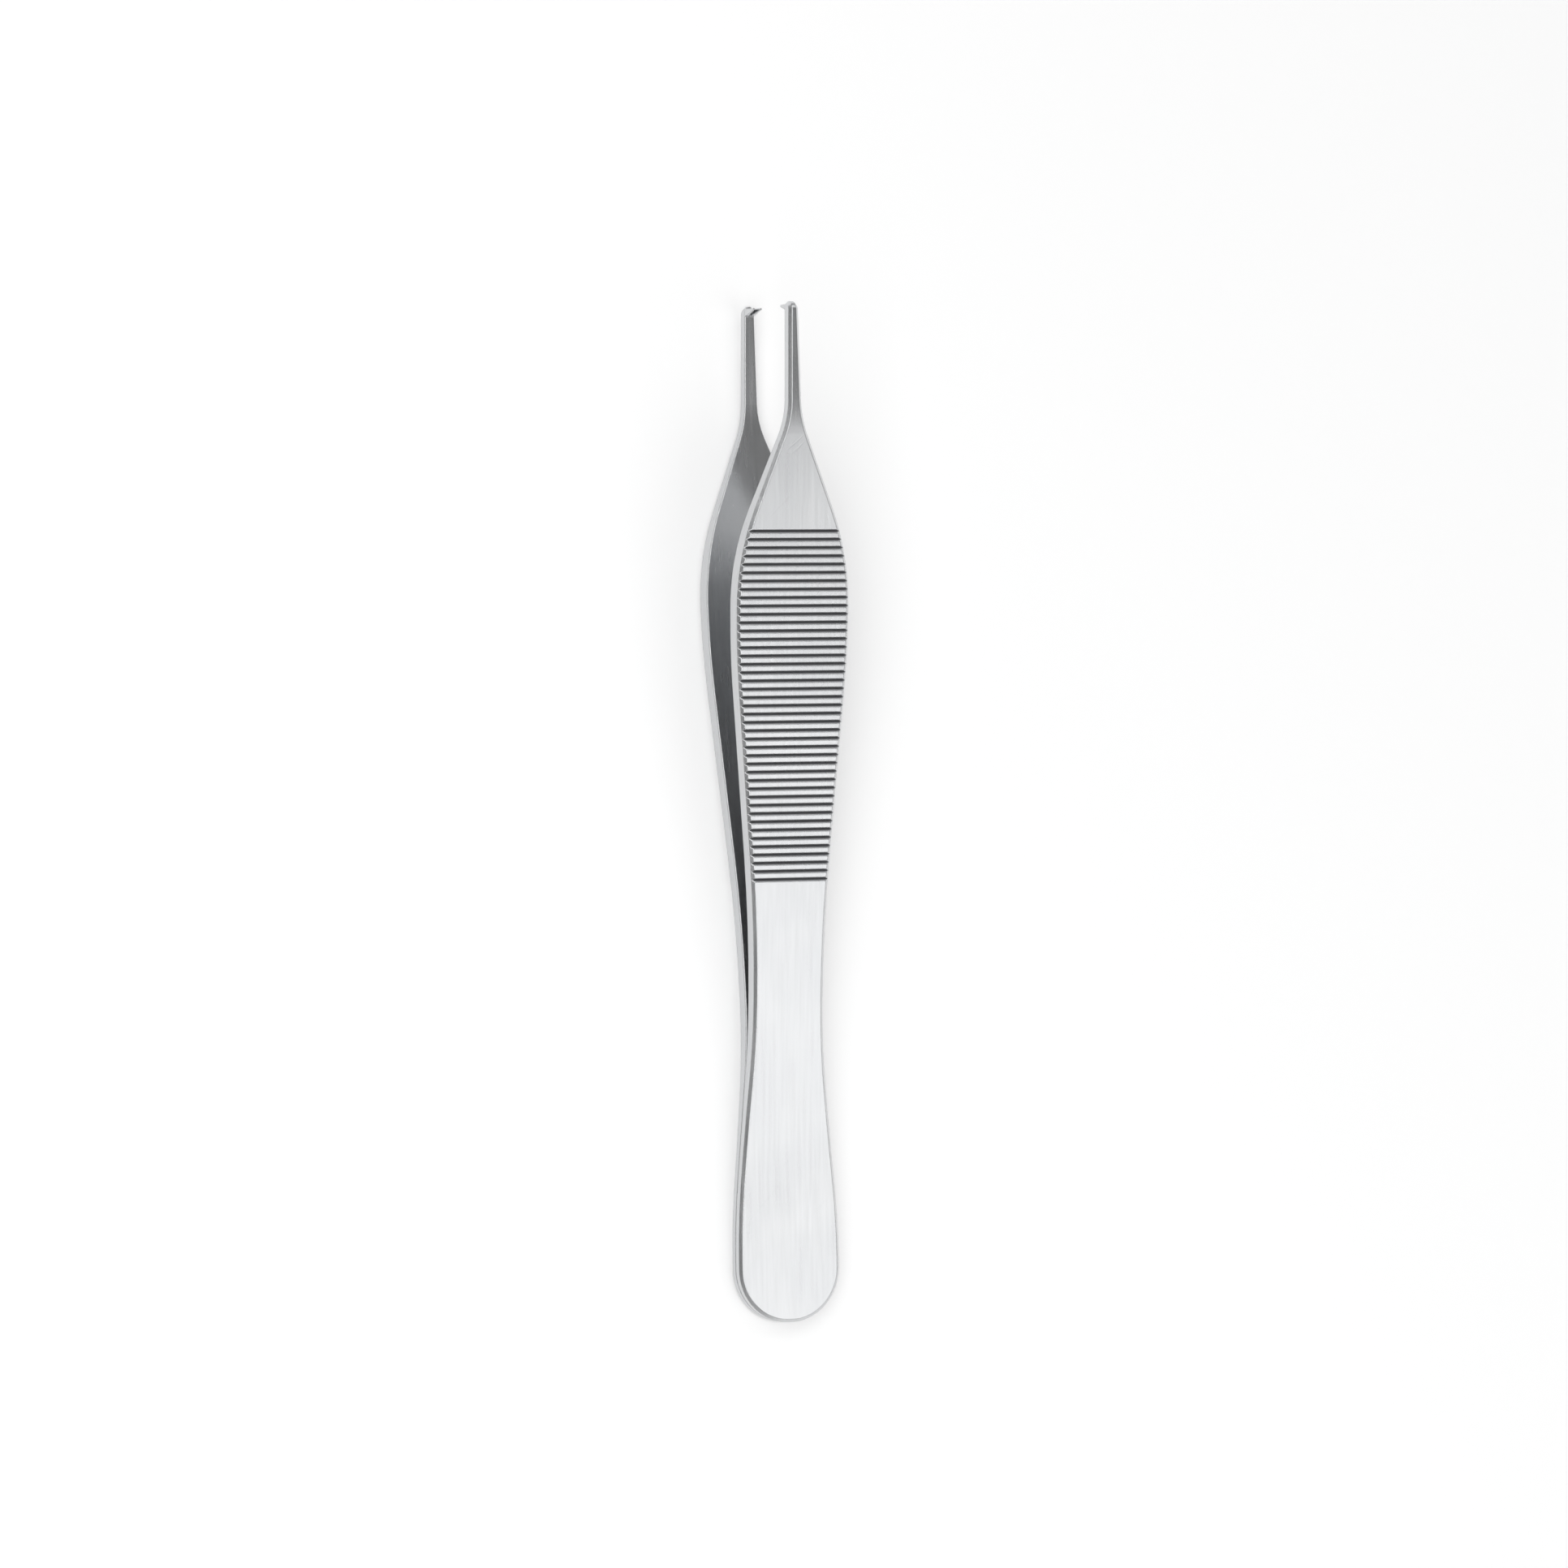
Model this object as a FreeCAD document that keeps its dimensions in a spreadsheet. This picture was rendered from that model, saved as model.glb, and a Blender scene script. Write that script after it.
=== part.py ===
import FreeCAD, Part
import math
import os
import re
import Sketcher

Vector = FreeCAD.Vector

# Toothed thumb forceps: two spring steel arms that meet face to face at a welded heel.
# Millimetres. Each arm is built along +Y from the heel, its outer face up, its inner face towards z = 0.
# The finished part lies on the outer face of the two-toothed arm.

# Driving dimensions
SIZES = {
    # Plan outline, as runs along the arm from the heel to the tips
    "heel_run": 33.0,
    "waist_run": 13.6,
    "flank_run": 32.5,
    "grip_run": 11.2,
    "shoulder_run": 16.1,
    "jaw_run": 13.6,
    # Plan outline, widths
    "heel_width": 13.0,
    "waist_width": 9.0,
    "grip_width": 14.5,
    "neck_width": 1.76,
    "tip_width": 1.2,
    # Plan outline, corners: each blend is the length of its arc's tangents
    "heel_flat": 0.4,
    "heel_side": 5.65,
    "heel_blend": 4.8,
    "waist_start_blend": 4.8,
    "waist_end_blend": 8.4,
    "grip_blend": 4.7,
    "shoulder_blend": 6.0,
    "neck_blend": 2.2,
    # Side profile
    "heel_thickness": 1.25,
    "spring_bend_at": 23.0,
    "spring_bend_blend": 6.8,
    "parting_at": 31.5,
    "parting_blend": 7.6,
    "grip_thickness": 2.3,
    "grip_end_blend": 2.7,
    "jaw_thickness": 1.45,
    "jaw_blend": 2.0,
    "tip_spread": 14.0,
    # Edges
    "outer_edge_bevel": 0.4,
    "inner_edge_break": 0.12,
    "tip_radius": 1.0,
    # Ribbed grip
    "rib_count": 43,
    "rib_pitch": 0.975,
    "rib_lead": 2.7,
    "groove_width": 0.46,
    "groove_depth": 0.3,
    # Teeth
    "tooth_height": 2.2,
    "tooth_setback": 0.3,
    "tooth_length": 0.95,
    "tooth_width": 0.6,
    "tooth_point": 0.22,
    "tooth_clearance": 0.06,
    "tooth_root": 0.4,
    # How far cutting sketches run past the steel
    "overrun": 1.0,
}

# Stations along the arm
WAIST_START = "heel_run"
WAIST_END = f"{WAIST_START} + waist_run"
GRIP = f"{WAIST_END} + flank_run"
SHOULDER = f"{GRIP} + grip_run"
NECK = f"{SHOULDER} + shoulder_run"
TIP = f"{NECK} + jaw_run"

# Heights above the plane where the two arms meet
JAW_OUTER = "tip_spread / 2"
JAW_INNER = f"{JAW_OUTER} - jaw_thickness"
BLADE_SLOPE = f"(({JAW_OUTER} - heel_thickness) / ({NECK} - spring_bend_at))"
BLADE_ANGLE = f"atan({BLADE_SLOPE})"

# Rounded and bevelled edges, limited by the narrow tip
TIP_ROUND = "min(tip_radius; 0.75 * jaw_thickness)"
BEVEL = "min(outer_edge_bevel; 0.4 * tip_width)"
INNER_BREAK = "min(inner_edge_break; 0.1 * tip_width)"


def blade_height(station):
    """Height of the outer face at a station of the straight blade."""
    return f"heel_thickness + ({station} - spring_bend_at) * {BLADE_SLOPE}"


document = FreeCAD.newDocument("ThumbForceps")
sheet = document.addObject("Spreadsheet::Sheet", "Sizes")
for row, (alias, number) in enumerate(SIZES.items(), start=1):
    sheet.set(f"A{row}", alias)
    sheet.set(f"B{row}", str(number))
    sheet.setAlias(f"B{row}", alias)
document.recompute()


def bound(text):
    """The expression text, with each size's name pointed at its cell."""
    return re.sub(r"[a-z_]+", lambda word: "Sizes." + word[0] if word[0] in SIZES else word[0], text)


def value(text):
    """The number that an expression on the sizes gives."""
    return float(sheet.evalExpression(bound(text)))


def bind(item, target, text):
    """Bind one value of an object to the sizes."""
    item.setExpression(target, bound(text))


# Sketches


def origin_plane(body, role):
    return next(item for item in body.Origin.OriginFeatures if item.Role == role)


def sketch_on(body, name, role):
    sketch = body.newObject("Sketcher::SketchObject", name)
    sketch.AttachmentSupport = (origin_plane(body, role), [""])
    sketch.MapMode = "FlatFace"
    return sketch


def measure(sketch, kind, places, text):
    """Add a dimension between places of a sketch and bind it to the sizes."""
    index = sketch.addConstraint(Sketcher.Constraint(kind, *places, value(text)))
    bind(sketch, f"Constraints[{index}]", text)


def hold(sketch, geometry, end, x, y):
    """Hold a point of a sketch at x and y from the sketch's origin."""
    for kind, text, axis in (("DistanceX", x, -2), ("DistanceY", y, -1)):
        if text == "0":
            sketch.addConstraint(Sketcher.Constraint("PointOnObject", geometry, end, axis))
        else:
            measure(sketch, kind, (-1, 1, geometry, end), text)


def blend_corner(sketch, corner, before, after, blend):
    """Join two lines by an arc that is tangent to both, at the blend's length from their corner."""
    x, y, blend_text = corner
    spot = Vector(value(x), value(y), 0)
    line_in = sketch.Geometry[before]
    line_out = sketch.Geometry[after]
    way_in = (line_in.EndPoint - line_in.StartPoint).normalize()
    way_out = (line_out.EndPoint - line_out.StartPoint).normalize()
    half_turn = way_in.getAngle(way_out) / 2
    radius = blend / math.tan(half_turn)
    centre = spot + (way_out - way_in).normalize() * (radius / math.cos(half_turn))
    turns_left = way_in.cross(way_out).z > 0
    ends = [spot - way_in * blend, spot + way_out * blend]
    if not turns_left:
        ends.reverse()
    angles = [math.atan2(point.y - centre.y, point.x - centre.x) for point in ends]
    if angles[1] < angles[0]:
        angles[1] += 2 * math.pi
    circle = Part.Circle(centre, Vector(0, 0, 1), radius)
    arc = sketch.addGeometry(Part.ArcOfCircle(circle, *angles))
    point = sketch.addGeometry(Part.Point(spot), True)
    first, last = (1, 2) if turns_left else (2, 1)
    sketch.addConstraint(Sketcher.Constraint("Tangent", before, 2, arc, first))
    sketch.addConstraint(Sketcher.Constraint("Tangent", arc, last, after, 1))
    sketch.addConstraint(Sketcher.Constraint("PointOnObject", point, 1, before))
    sketch.addConstraint(Sketcher.Constraint("PointOnObject", point, 1, after))
    hold(sketch, point, 1, x, y)
    measure(sketch, "Distance", (point, 1, before, 2), blend_text)


def draw_path(sketch, corners, closed=True):
    """Draw lines from corner to corner. A corner is x, y and the blend that rounds it, or None."""
    spots = [Vector(value(x), value(y), 0) for x, y, blend in corners]
    blends = [value(blend) if blend else 0 for x, y, blend in corners]
    count = len(corners)
    lines = []
    for start in range(count if closed else count - 1):
        end = (start + 1) % count
        way = (spots[end] - spots[start]).normalize()
        segment = Part.LineSegment(spots[start] + way * blends[start], spots[end] - way * blends[end])
        lines.append(sketch.addGeometry(segment))
    for index, corner in enumerate(corners):
        x, y, blend_text = corner
        before = lines[index - 1] if closed or index > 0 else None
        after = lines[index] if index < len(lines) else None
        if before is None or after is None:
            line, end = (after, 1) if before is None else (before, 2)
            hold(sketch, line, end, x, y)
        elif blend_text:
            blend_corner(sketch, corner, before, after, blends[index])
        else:
            sketch.addConstraint(Sketcher.Constraint("Coincident", before, 2, after, 1))
            hold(sketch, after, 1, x, y)


def draw_rectangle(sketch, left, right, back, front):
    draw_path(sketch, [(left, back, None), (right, back, None), (right, front, None), (left, front, None)])


# The arm's features


def pad_side_profile(body):
    """Pad the arm's side profile: outer face, jaw, thinner inner face, parting curve and weld land."""
    sketch = sketch_on(body, "SideProfile", "YZ_Plane")
    corners = [
        ("-overrun", "0", None),
        ("parting_at", "0", "parting_blend"),
        (SHOULDER, f"{blade_height(SHOULDER)} - grip_thickness", "grip_end_blend"),
        (NECK, JAW_INNER, "jaw_blend"),
        (TIP, JAW_INNER, None),
        (TIP, JAW_OUTER, None),
        (NECK, JAW_OUTER, "jaw_blend"),
        ("spring_bend_at", "heel_thickness", "spring_bend_blend"),
        ("-overrun", "heel_thickness", None),
    ]
    draw_path(sketch, corners)
    strip = body.newObject("PartDesign::Pad", "Strip")
    strip.Profile = sketch
    strip.SideType = "Symmetric"
    bind(strip, "Length", "max(heel_width; grip_width) + 2 * overrun")
    return strip


def symmetric_pocket(body, name, sketch):
    """Cut a sketch's area right through the body, both ways from the sketch."""
    pocket = body.newObject("PartDesign::Pocket", name)
    pocket.Profile = sketch
    pocket.Type = "ThroughAll"
    pocket.SideType = "Symmetric"
    return pocket


def cut_outline(body):
    """Cut the plan outline square to the blade on one side and mirror the cut to the other."""
    sketch = sketch_on(body, "Outline", "XY_Plane")
    turn = f"rotation(vector(1; 0; 0); {BLADE_ANGLE})"
    bind(sketch, "AttachmentOffset", f"placement(vector(0; spring_bend_at; heel_thickness); {turn})")
    outside = "max(heel_width; grip_width)"
    corners = [
        ("0", "0", None),
        ("heel_width / 2", "0", "(heel_width - heel_flat) / 2"),
        ("heel_width / 2", "heel_width / 2 + heel_side", "heel_blend"),
        ("waist_width / 2", WAIST_START, "waist_start_blend"),
        ("waist_width / 2", WAIST_END, "waist_end_blend"),
        ("grip_width / 2", GRIP, "grip_blend"),
        ("grip_width / 2", SHOULDER, "shoulder_blend"),
        ("neck_width / 2", NECK, "neck_blend"),
        ("tip_width / 2", f"{TIP} + overrun", None),
        (outside, f"{TIP} + overrun", None),
        (outside, "-2 * overrun", None),
        ("0", "-2 * overrun", None),
    ]
    draw_path(sketch, [(x, f"{y} - spring_bend_at", blend) for x, y, blend in corners])
    pocket = symmetric_pocket(body, "RightSide", sketch)
    document.recompute()
    mirror = body.newObject("PartDesign::Mirrored", "LeftSide")
    mirror.Originals = [pocket]
    mirror.MirrorPlane = (origin_plane(body, "YZ_Plane"), [""])
    body.Tip = mirror
    return mirror


def facing(face):
    """Which way a face of the arm looks: outer, inner, end or side."""
    low, high, near, far = face.ParameterRange
    normal = face.normalAt((low + high) / 2, (near + far) / 2)
    if abs(normal.z) > 0.7:
        return "outer" if normal.z > 0 else "inner"
    return "end" if normal.y > 0.99 else "side"


def edges_between(shape, one, other):
    """Names of the edges where a face of one kind meets a face of the other."""
    names = []
    for number, edge in enumerate(shape.Edges, start=1):
        kinds = sorted(facing(face) for face in shape.ancestorsOfType(edge, Part.Face))
        if kinds == sorted([one, other]):
            names.append(f"Edge{number}")
    return names


def dress(body, kind, name, edges, target, size):
    """Fillet or chamfer some edges of the body's last feature."""
    feature = body.newObject(f"PartDesign::{kind}", name)
    feature.Base = (feature.BaseFeature, edges)
    bind(feature, target, size)
    document.recompute()
    return feature


def dress_edges(body, base):
    """Round the tip's outer corner, then bevel the outer edges and break the inner ones."""
    tip_edges = edges_between(base.Shape, "outer", "end")
    tip = dress(body, "Fillet", "TipRound", tip_edges, "Radius", TIP_ROUND)
    outer_edges = edges_between(tip.Shape, "outer", "side")
    outer = dress(body, "Chamfer", "OuterEdges", outer_edges, "Size", BEVEL)
    inner_edges = edges_between(outer.Shape, "inner", "side")
    return dress(body, "Chamfer", "InnerEdges", inner_edges, "Size", INNER_BREAK)


def cut_ribs(body):
    """Mill the cross grooves of the grip, the front one first."""
    sketch = sketch_on(body, "Groove", "YZ_Plane")
    station = f"{SHOULDER} + rib_lead"
    bind(sketch, "AttachmentOffset.Base.x", station)
    bind(sketch, "AttachmentOffset.Base.y", blade_height(station))
    bind(sketch, "AttachmentOffset.Rotation.Angle", BLADE_ANGLE)
    corners = [
        ("0", "-groove_depth", None),
        ("groove_width", "groove_depth", None),
        ("-groove_width", "groove_depth", None),
    ]
    draw_path(sketch, corners)
    groove = symmetric_pocket(body, "FrontGroove", sketch)
    document.recompute()
    ribs = body.newObject("PartDesign::LinearPattern", "Ribs")
    ribs.Originals = [groove]
    ribs.Direction = (sketch, ["H_Axis"])
    ribs.Reversed = True
    ribs.Mode = "Spacing"
    bind(ribs, "Offset", "rib_pitch")
    bind(ribs, "Occurrences", "rib_count")
    body.Tip = ribs
    return ribs


def add_tooth(body, name, root, point):
    """Loft a claw from its root in the jaw to its point. Root and point are left and right limits."""
    sections = []
    for part, limits, length, height in (
        ("Root", root, "tooth_length", f"{JAW_INNER} + tooth_root"),
        ("Point", point, "tooth_point", f"{JAW_INNER} - tooth_height"),
    ):
        sketch = sketch_on(body, name + part, "XY_Plane")
        bind(sketch, "AttachmentOffset.Base.z", height)
        front = f"{TIP} - tooth_setback"
        draw_rectangle(sketch, *limits, f"{front} - {length}", front)
        sections.append(sketch)
    document.recompute()
    tooth = body.newObject("PartDesign::AdditiveLoft", name)
    tooth.Profile = sections[0]
    tooth.Sections = [sections[1]]
    tooth.Ruled = True
    document.recompute()
    return tooth


def add_single_tooth(body):
    """One tooth on the middle of the jaw."""
    add_tooth(body, "Tooth", ("-tooth_width / 2", "tooth_width / 2"), ("-tooth_point / 2", "tooth_point / 2"))


def add_twin_teeth(body):
    """Two teeth whose inner flanks clear the single tooth on both sides."""
    root_gap = "tooth_point / 2 + tooth_clearance"
    point_gap = "tooth_width / 2 + tooth_clearance"
    tooth = add_tooth(body, "SideTooth", (root_gap, "tip_width / 2"), (point_gap, f"{point_gap} + tooth_point"))
    twin = body.newObject("PartDesign::Mirrored", "TwinTooth")
    twin.Originals = [tooth]
    twin.MirrorPlane = (origin_plane(body, "YZ_Plane"), [""])
    body.Tip = twin


def make_arm(label, add_teeth):
    body = document.addObject("PartDesign::Body", label)
    body.Label = label
    pad_side_profile(body)
    sides = cut_outline(body)
    document.recompute()
    dress_edges(body, sides)
    cut_ribs(body)
    document.recompute()
    add_teeth(body)
    document.recompute()
    return body


single = make_arm("single_tooth_arm", add_single_tooth)
double = make_arm("double_tooth_arm", add_twin_teeth)

# Rest: the two-toothed arm's outer face is down, on its heel and on the bend before its jaw.
BEND_RADIUS = f"(jaw_blend / tan({BLADE_ANGLE} / 2))"
ALONG = f"({NECK} + jaw_blend - {BEVEL})"
RISE = f"({BEND_RADIUS} - ({JAW_OUTER} - heel_thickness))"
TILT = f"(asin({BEND_RADIUS} / sqrt({ALONG} ^ 2 + {RISE} ^ 2)) - atan({RISE} / {ALONG}))"
LIFT = f"(heel_thickness * cos({TILT}) - {BEVEL} * sin({TILT}))"
BACK = f"(({BEVEL} - heel_thickness) * sin({TILT}))"
FRONT = (f"(({TIP} - {TIP_ROUND}) * cos({TILT}) + ({JAW_OUTER} - {TIP_ROUND}) * sin({TILT})"
         f" + {TIP_ROUND})")
REST = f"placement(vector(0; -({BACK} + {FRONT}) / 2; {LIFT}); rotation(vector(1; 0; 0); {TILT}))"
OVER = "placement(vector(0; 0; 0); rotation(vector(0; 1; 0); 180))"
bind(single, "Placement", REST)
bind(double, "Placement", f"{REST} * {OVER}")
document.recompute()

# Check every object, then write each arm
for item in document.Objects:
    if {"Invalid", "Error"} & set(item.State):
        raise RuntimeError(f"{item.Label} did not build: {item.State}")
os.makedirs("parts", exist_ok=True)
for body in (single, double):
    shape = body.Shape
    if shape.isNull() or not shape.isValid() or len(shape.Solids) != 1:
        raise RuntimeError(f"{body.Label} is not one valid solid")
    shape.exportStep(f"parts/{body.Label}.step")
    box = shape.BoundBox
    print(body.Label, round(shape.Volume, 3), [round(edge, 3) for edge in
          (box.XMin, box.YMin, box.ZMin, box.XMax, box.YMax, box.ZMax)])
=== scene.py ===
import math

import bpy
from mathutils import Matrix, Vector


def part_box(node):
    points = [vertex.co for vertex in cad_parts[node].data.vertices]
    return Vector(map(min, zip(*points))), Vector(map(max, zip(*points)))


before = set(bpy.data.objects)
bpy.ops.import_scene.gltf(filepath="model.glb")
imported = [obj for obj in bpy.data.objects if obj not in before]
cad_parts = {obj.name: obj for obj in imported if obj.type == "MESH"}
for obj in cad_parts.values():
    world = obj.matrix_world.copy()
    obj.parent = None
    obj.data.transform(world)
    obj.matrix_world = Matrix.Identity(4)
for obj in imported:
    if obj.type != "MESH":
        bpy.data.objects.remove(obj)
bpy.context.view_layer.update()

# Metres, in the CAD frame. The forceps lie along +Y from heel to tips, with the single-toothed arm on top.
# At rest the plane where the two arms meet rises towards the tips by REST_TILT.
MM = 0.001
LENGTH = 120.0 * MM
REST_TILT = math.radians(3.09)

# Camera, from the drawing's size and place on its page
PICTURE = 1932
PIXELS_PER_MM = 10.45
DRAWING_CENTRE = (958.5, 1000)
VIEW_TURN = math.radians(25.0)
ROLL = math.radians(1.0)
LENS = 200.0
SENSOR = 36.0
CLIP_START = 0.05
CLIP_END = 10.0

# Steel colours, and the near black painted as shade into the recesses
STEEL = (0.66, 0.665, 0.67)
STEEL_COOL = (0.60, 0.61, 0.625)
# Painted shade: the base colour in the grooves and other recesses
PAINTED_RECESS_SHADE = (0.07, 0.07, 0.075)

# Patterns in the steel: how fine each noise is, its levels of detail, and how far it is drawn out
FINE_GRAIN = {"per_metre": 6500, "detail": 2.0, "stretch": 45}
BROAD_GRAIN = {"per_metre": 2600, "detail": 2.0, "stretch": 35}
SCRATCHES = {"per_metre": 900, "detail": 1.0, "stretch": 30}
PATCHES = {"per_metre": 420, "detail": 1.0, "stretch": 3}
CLOUDS = {"per_metre": 110, "detail": 2.0}
NOISE_MIDDLE = 0.5
# How far each arm's grain leans up from +Y, how far its scratches turn from the grain, and the shift
# that gives the next arm a pattern of its own
ARM_LEAN = {"single_tooth_arm": math.radians(5.0), "double_tooth_arm": math.radians(1.0)}
SCRATCH_TURNS = (0.45, -0.8)
PATTERN_SHIFT = 0.37

# Masks: the level of each at places along what it is made from
# A scratch, by the noise's distance from its middle
SCRATCH_LINE = [(0.0, 1.0), (0.012, 0.0)]
# A patch where the scratches show, by the patch noise
SCRATCH_PATCH = [(0.58, 0.0), (0.68, 1.0)]
# Painted shade in the hollows, by how open the surface is to the room within its reach
RECESS_SHADE = [(0.42, 1.0), (0.86, 0.0)]
RECESS_REACH = 0.45 * MM
RECESS_SAMPLES = 8
# A worn edge, by the cosine of how far its rounding bends the normal
WORN_EDGE = [(0.90, 1.0), (0.995, 0.0)]
EDGE_RADIUS = 0.18 * MM
EDGE_SAMPLES = 6

# Roughness of the plain steel, and what each pattern and mask adds to it
ROUGHNESS = 0.15
GRAIN_ROUGHNESS = 0.14
CLOUD_ROUGHNESS = 0.06
RECESS_ROUGHNESS = 0.2
WORN_ROUGHNESS = -0.1

# Relief, with the fine grain's height as 1
RELIEF = 0.01 * MM
RELIEF_STRENGTH = 0.25
BROAD_HEIGHT = 0.5
SCRATCH_HEIGHT = -0.8

# Studio
FLOOR_RADIUS = 4.0
FLOOR_SIDES = 64
FLOOR_COLOUR = 0.80
FLOOR_GLOW = 0.31
# The dome's light at heights from its foot, 0, to its top, 1: a bright foot, a dim belt and a paler top
DOME_LIGHT = [(0.0, 0.50), (0.29, 0.50), (0.36, 0.12), (0.90, 0.20)]
# Softboxes: name, the two corners in x and y, height and radiance
SOFTBOXES = [
    ("key_softbox", (-0.05, -0.60), (0.60, -0.02), 0.5, 1.25),
    ("fill_softbox", (-0.85, -0.65), (-0.20, 0.75), 0.6, 1.9),
    ("back_softbox", (-0.15, 0.35), (0.75, 1.00), 0.6, 1.0),
]


# Node helpers


def new_material(name):
    """An empty material and its node tree."""
    material = bpy.data.materials.new(name)
    material.use_nodes = True
    material.node_tree.nodes.clear()
    return material, material.node_tree


def feed(tree, socket, given):
    """Link another node's output to a socket, or set the socket to a number or a colour."""
    if isinstance(given, bpy.types.NodeSocket):
        tree.links.new(given, socket)
    elif isinstance(given, tuple):
        socket.default_value = (*given, 1)
    else:
        socket.default_value = given


def ramp(tree, factor, stops):
    """Grey levels at places along a factor."""
    node = tree.nodes.new("ShaderNodeValToRGB")
    elements = node.color_ramp.elements
    while len(elements) > 1:
        elements.remove(elements[-1])
    for index, (place, level) in enumerate(stops):
        element = elements[0] if index == 0 else elements.new(place)
        element.position = place
        element.color = (level, level, level, 1)
    feed(tree, node.inputs["Fac"], factor)
    return node.outputs["Color"]


def noise(tree, vector, per_metre, detail):
    """Noise of one size, with levels of finer detail."""
    node = tree.nodes.new("ShaderNodeTexNoise")
    feed(tree, node.inputs["Vector"], vector)
    feed(tree, node.inputs["Scale"], per_metre)
    feed(tree, node.inputs["Detail"], detail)
    return node.outputs["Fac"]


def drawn_out_noise(tree, vector, per_metre, detail, stretch, lean, turn=0.0):
    """Noise drawn out along Y, leaning up by one angle and turned about Z by another."""
    node = tree.nodes.new("ShaderNodeMapping")
    node.vector_type = "TEXTURE"
    node.inputs["Scale"].default_value = (1, stretch, 1)
    node.inputs["Rotation"].default_value = (lean, 0, turn)
    feed(tree, node.inputs["Vector"], vector)
    return noise(tree, node.outputs["Vector"], per_metre, detail)


def calculate(tree, operation, *values):
    """One step of arithmetic on numbers and on other nodes' outputs."""
    node = tree.nodes.new("ShaderNodeMath")
    node.operation = operation
    for socket, given in zip(node.inputs, values):
        feed(tree, socket, given)
    return node.outputs[0]


def add_shares(tree, total, *shares):
    """A total and what is added to it, as pairs of a pattern and how much it counts."""
    for pattern, amount in shares:
        total = calculate(tree, "MULTIPLY_ADD", pattern, amount, total)
    return total


def mix(tree, factor, first, second):
    """Two colours mixed by a factor."""
    node = tree.nodes.new("ShaderNodeMix")
    node.data_type = "RGBA"
    feed(tree, node.inputs["Factor"], factor)
    feed(tree, node.inputs[6], first)
    feed(tree, node.inputs[7], second)
    return node.outputs[2]


# Steel


def shifted_place(tree, shift):
    """The object's own coordinates, shifted by one length along each axis."""
    node = tree.nodes.new("ShaderNodeVectorMath")
    node.operation = "ADD"
    node.inputs[1].default_value = (shift, shift, shift)
    feed(tree, node.inputs[0], tree.nodes.new("ShaderNodeTexCoord").outputs["Object"])
    return node.outputs[0]


def hairlines(tree, place, lean, turn):
    """Thin scratches that run one way and show in patches."""
    wave = drawn_out_noise(tree, place, lean=lean, turn=turn, **SCRATCHES)
    off_middle = calculate(tree, "ABSOLUTE", calculate(tree, "SUBTRACT", wave, NOISE_MIDDLE))
    line = ramp(tree, off_middle, SCRATCH_LINE)
    patch = ramp(tree, drawn_out_noise(tree, place, lean=lean, turn=turn, **PATCHES), SCRATCH_PATCH)
    return calculate(tree, "MULTIPLY", line, patch)


def recesses(tree):
    """A mask of the recesses, such as the grooves between the ribs, from ambient occlusion: it paints
    shade into the base colour there and roughens the steel.
    """
    node = tree.nodes.new("ShaderNodeAmbientOcclusion")
    node.samples = RECESS_SAMPLES
    node.inputs["Distance"].default_value = RECESS_REACH
    return ramp(tree, node.outputs["AO"], RECESS_SHADE)


def rounded_edges(tree):
    """Normals that round the edges, and a mask of the edges that hands have rubbed."""
    rounding = tree.nodes.new("ShaderNodeBevel")
    rounding.samples = EDGE_SAMPLES
    rounding.inputs["Radius"].default_value = EDGE_RADIUS
    normal = rounding.outputs["Normal"]
    bend = tree.nodes.new("ShaderNodeVectorMath")
    bend.operation = "DOT_PRODUCT"
    feed(tree, bend.inputs[0], normal)
    feed(tree, bend.inputs[1], tree.nodes.new("ShaderNodeNewGeometry").outputs["True Normal"])
    return normal, ramp(tree, bend.outputs["Value"], WORN_EDGE)


def satin_steel(name, shift, lean):
    """Satin stainless steel: lengthwise grain, faint scratches, smoother worn edges, and painted shade
    that darkens the recesses.
    """
    material, tree = new_material(name)
    output = tree.nodes.new("ShaderNodeOutputMaterial")
    shader = tree.nodes.new("ShaderNodeBsdfPrincipled")
    shader.inputs["Metallic"].default_value = 1.0
    feed(tree, output.inputs["Surface"], shader.outputs["BSDF"])

    place = shifted_place(tree, shift)
    grain = drawn_out_noise(tree, place, lean=lean, **FINE_GRAIN)
    broad_grain = drawn_out_noise(tree, place, lean=lean, **BROAD_GRAIN)
    cloud = noise(tree, place, **CLOUDS)
    scratches = [hairlines(tree, place, lean, turn) for turn in SCRATCH_TURNS]
    scratch = calculate(tree, "MAXIMUM", *scratches)
    recess_shade = recesses(tree)
    normal, worn = rounded_edges(tree)

    tint = mix(tree, cloud, STEEL, STEEL_COOL)
    # Painted shade: the base colour goes to near black in the recesses, where shade falls
    feed(tree, shader.inputs["Base Color"], mix(tree, recess_shade, tint, PAINTED_RECESS_SHADE))

    rough = add_shares(
        tree,
        ROUGHNESS,
        (broad_grain, GRAIN_ROUGHNESS),
        (cloud, CLOUD_ROUGHNESS),
        (recess_shade, RECESS_ROUGHNESS),
        (worn, WORN_ROUGHNESS),
    )
    feed(tree, shader.inputs["Roughness"], rough)

    height = add_shares(tree, grain, (broad_grain, BROAD_HEIGHT), (scratch, SCRATCH_HEIGHT))
    bump = tree.nodes.new("ShaderNodeBump")
    bump.inputs["Strength"].default_value = RELIEF_STRENGTH
    bump.inputs["Distance"].default_value = RELIEF
    feed(tree, bump.inputs["Height"], height)
    feed(tree, bump.inputs["Normal"], normal)
    feed(tree, shader.inputs["Normal"], bump.outputs["Normal"])
    return material


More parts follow.
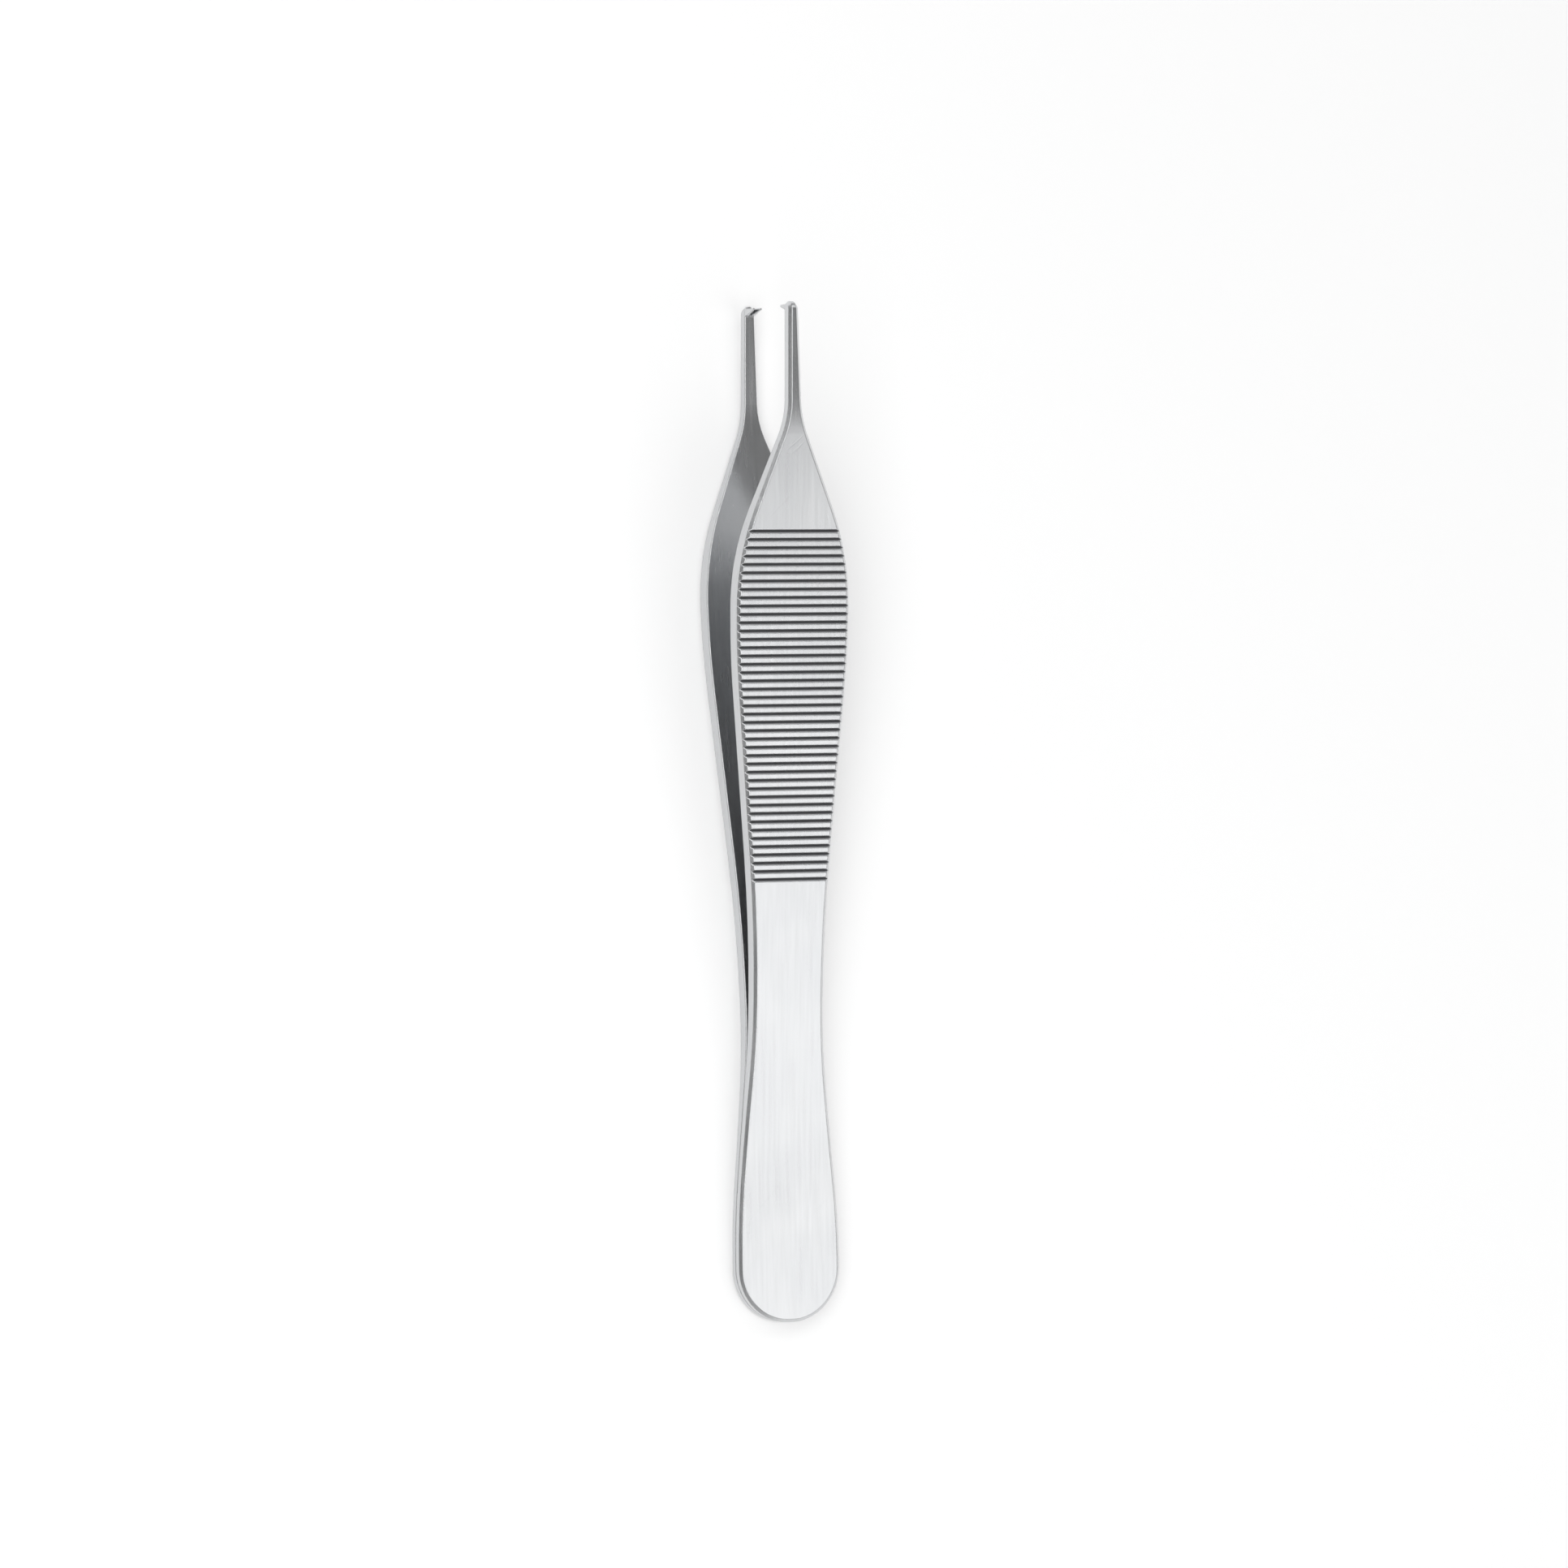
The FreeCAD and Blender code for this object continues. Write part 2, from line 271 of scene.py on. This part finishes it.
def finish_arms():
    """Each arm is one piece of steel with its own grain."""
    for number, (name, lean) in enumerate(ARM_LEAN.items(), start=1):
        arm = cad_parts[name]
        arm.data.materials.clear()
        arm.data.materials.append(satin_steel(f"satin_steel_{name}", PATTERN_SHIFT * number, lean))


# Studio


def pale_floor():
    """White matt floor that keeps the shadow. Camera, glossy and transmission rays also see it glow."""
    material, tree = new_material("pale_floor")
    matt = tree.nodes.new("ShaderNodeBsdfDiffuse")
    feed(tree, matt.inputs["Color"], (FLOOR_COLOUR, FLOOR_COLOUR, FLOOR_COLOUR))
    rays = tree.nodes.new("ShaderNodeLightPath").outputs
    seen = calculate(tree, "MAXIMUM", rays["Is Camera Ray"], rays["Is Glossy Ray"])
    seen = calculate(tree, "MAXIMUM", seen, rays["Is Transmission Ray"])
    glow = tree.nodes.new("ShaderNodeEmission")
    feed(tree, glow.inputs["Strength"], calculate(tree, "MULTIPLY", seen, FLOOR_GLOW))
    both = tree.nodes.new("ShaderNodeAddShader")
    feed(tree, both.inputs[0], matt.outputs[0])
    feed(tree, both.inputs[1], glow.outputs[0])
    output = tree.nodes.new("ShaderNodeOutputMaterial")
    feed(tree, output.inputs["Surface"], both.outputs[0])
    return material


def add_floor():
    """A wide flat disc under the forceps."""
    bpy.ops.mesh.primitive_circle_add(
        vertices=FLOOR_SIDES, radius=FLOOR_RADIUS, fill_type="NGON", location=(0, 0, 0)
    )
    floor = bpy.context.object
    floor.name = "studio_floor"
    floor.data.materials.append(pale_floor())


def add_world():
    """A dim dome with a band of soft light round its foot."""
    world = bpy.data.worlds.new("studio")
    bpy.context.scene.world = world
    world.use_nodes = True
    tree = world.node_tree
    tree.nodes.clear()
    parts = tree.nodes.new("ShaderNodeSeparateXYZ")
    feed(tree, parts.inputs[0], tree.nodes.new("ShaderNodeTexCoord").outputs["Generated"])
    light = tree.nodes.new("ShaderNodeBackground")
    feed(tree, light.inputs["Color"], ramp(tree, parts.outputs["Z"], DOME_LIGHT))
    output = tree.nodes.new("ShaderNodeOutputWorld")
    feed(tree, output.inputs["Surface"], light.outputs[0])


def add_softbox(name, low, high, height, radiance):
    """A rectangular area lamp that faces straight down. low and high are its corners in x and y."""
    lamp = bpy.data.lights.new(name, "AREA")
    lamp.shape = "RECTANGLE"
    lamp.size = high[0] - low[0]
    lamp.size_y = high[1] - low[1]
    lamp.energy = radiance * math.pi * lamp.size * lamp.size_y
    item = bpy.data.objects.new(name, lamp)
    item.location = ((low[0] + high[0]) / 2, (low[1] + high[1]) / 2, height)
    bpy.context.scene.collection.objects.link(item)


# Camera


def add_camera():
    """Looks down on the forceps, turned to their left, with the heel at the bottom of the picture."""
    along = Vector((0, math.cos(REST_TILT), math.sin(REST_TILT)))
    face = Vector((0, -math.sin(REST_TILT), math.cos(REST_TILT)))
    back = math.cos(VIEW_TURN) * face - math.sin(VIEW_TURN) * Vector((1, 0, 0))
    level_right = along.cross(back)
    up = math.cos(ROLL) * along + math.sin(ROLL) * level_right
    right = up.cross(back)

    heel_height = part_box("single_tooth_arm")[0].z
    middle = Vector((0, 0, heel_height + math.sin(REST_TILT) * LENGTH / 2))
    per_metre = PIXELS_PER_MM / MM
    across = (PICTURE / 2 - DRAWING_CENTRE[0]) / per_metre
    down = (PICTURE / 2 - DRAWING_CENTRE[1]) / per_metre
    target = middle + right * across - up * down
    distance = PICTURE / per_metre * LENS / SENSOR

    lens = bpy.data.cameras.new("camera")
    lens.lens = LENS
    lens.sensor_width = SENSOR
    lens.clip_start = CLIP_START
    lens.clip_end = CLIP_END
    camera = bpy.data.objects.new("camera", lens)
    turn = Matrix((right, up, back)).transposed().to_4x4()
    camera.matrix_world = Matrix.Translation(target + back * distance) @ turn
    bpy.context.scene.collection.objects.link(camera)
    bpy.context.scene.camera = camera


add_camera()
finish_arms()
add_floor()
add_world()
for softbox in SOFTBOXES:
    add_softbox(*softbox)
bpy.context.scene.view_settings.view_transform = "Standard"
